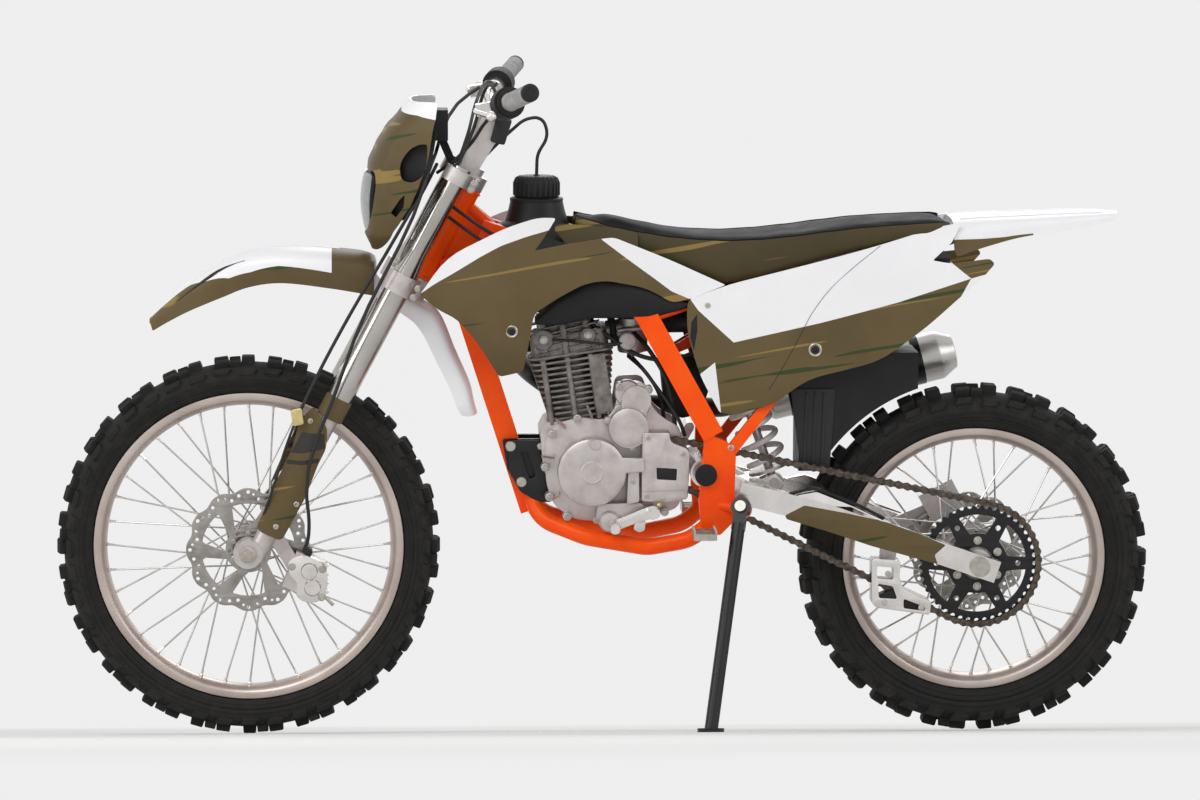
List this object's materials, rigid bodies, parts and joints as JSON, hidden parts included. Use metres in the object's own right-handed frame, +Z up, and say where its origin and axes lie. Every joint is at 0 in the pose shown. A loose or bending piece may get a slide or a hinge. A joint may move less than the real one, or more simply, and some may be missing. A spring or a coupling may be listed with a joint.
{
  "type": "off-road motorcycle",
  "caption": "Off-road motorcycle on knobbly tyres, leaning on its side stand; steering, wheels and stand turn.",
  "frame": {"origin": "on the floor, under the centre of the parked motorcycle's bounding box", "axes": "+X to the rear along the wheelbase, -Y to the rider's left, which is the side of the stand, +Z up"},
  "size_m": [1.984, 0.798, 1.2657],
  "materials": {
    "frame_orange": "gloss powder coat",
    "cast_silver": "satin cast",
    "bright_steel": "satin plated",
    "black_metal": "satin black",
    "chain_steel": "oiled",
    "spring_white": "gloss",
    "tank_black": "satin",
    "black_plastic": "matt",
    "body_plastic": "olive and white, glossy",
    "seat_cover": "grained vinyl",
    "tyre_rubber": "matt",
    "rim_silver": "satin anodised",
    "hose_rubber": "matt",
    "grip_rubber": "ribbed",
    "lens_clear": "clear",
    "silencer_metal": "brushed"
  },
  "bodies": {
    "chassis": {"frame_head": "frame_orange", "frame_spars": "frame_orange", "frame_cradle": "frame_orange", "subframe": "frame_orange", "swingarm": "cast_silver", "frame_pins": "black_metal", "rear_axle": "bright_steel", "shock_absorber": "bright_steel", "shock_spring": "spring_white", "chain": "chain_steel", "chain_guide": "cast_silver", "front_sprocket": "chain_steel", "crankcase": "cast_silver", "sprocket_cover": "cast_silver", "cylinder": "cast_silver", "cylinder_head": "cast_silver", "engine_plates": "black_metal", "carburettor": "cast_silver", "intake_boot": "hose_rubber", "airbox": "black_plastic", "exhaust_pipe": "bright_steel", "silencer": "silencer_metal", "fuel_tank": "tank_black", "fuel_cap": "black_plastic", "vent_hose": "hose_rubber", "seat": "seat_cover", "shroud_left": "body_plastic", "shroud_right": "body_plastic", "side_panel_left": "body_plastic", "side_panel_right": "body_plastic", "rear_fender": "body_plastic", "foot_pegs": "bright_steel", "foot_controls": "bright_steel", "rear_caliper": "cast_silver"},
    "steering": {"triple_clamps": "cast_silver", "fork_tubes": "cast_silver", "fork_legs": "bright_steel", "fork_guards": "body_plastic", "front_axle": "bright_steel", "front_caliper": "cast_silver", "front_fender": "body_plastic", "headlight_mask": "body_plastic", "headlight_lens": "lens_clear", "handlebar": "bright_steel", "grips": "grip_rubber", "switchgear": "black_plastic", "hand_levers": "bright_steel", "brake_hose": "hose_rubber"},
    "front_wheel": {"front_tyre": "tyre_rubber", "front_rim": "rim_silver", "front_hub": "cast_silver", "front_disc": "bright_steel"},
    "rear_wheel": {"rear_tyre": "tyre_rubber", "rear_rim": "rim_silver", "rear_hub": "cast_silver", "rear_wheel_disc": "bright_steel", "rear_sprocket": "black_metal"},
    "side_stand": {"side_stand": "black_metal"}
  },
  "joints": [
    {"name": "steering", "type": "hinge", "parent": "chassis", "child": "steering", "pos_m": [-0.29534, 0.05053, 0.90078], "axis": [0.4695, -0.1685, 0.8667], "range_deg": [-40, 40]},
    {"name": "front_wheel_spin", "type": "hinge", "parent": "steering", "child": "front_wheel", "pos_m": [-0.64505, 0.15896, 0.34297], "axis": [0, 0.9816, 0.1908], "continuous": true},
    {"name": "rear_wheel_spin", "type": "hinge", "parent": "chassis", "child": "rear_wheel", "pos_m": [0.67155, 0.1639, 0.31759], "axis": [0, 0.9816, 0.1908], "continuous": true},
    {"name": "stand_fold", "type": "hinge", "parent": "chassis", "child": "side_stand", "pos_m": [0.23737, 0.00304, 0.4009], "axis": [-0.2022, -0.9576, 0.2053], "range_deg": [0, 116.2]}
  ]
}
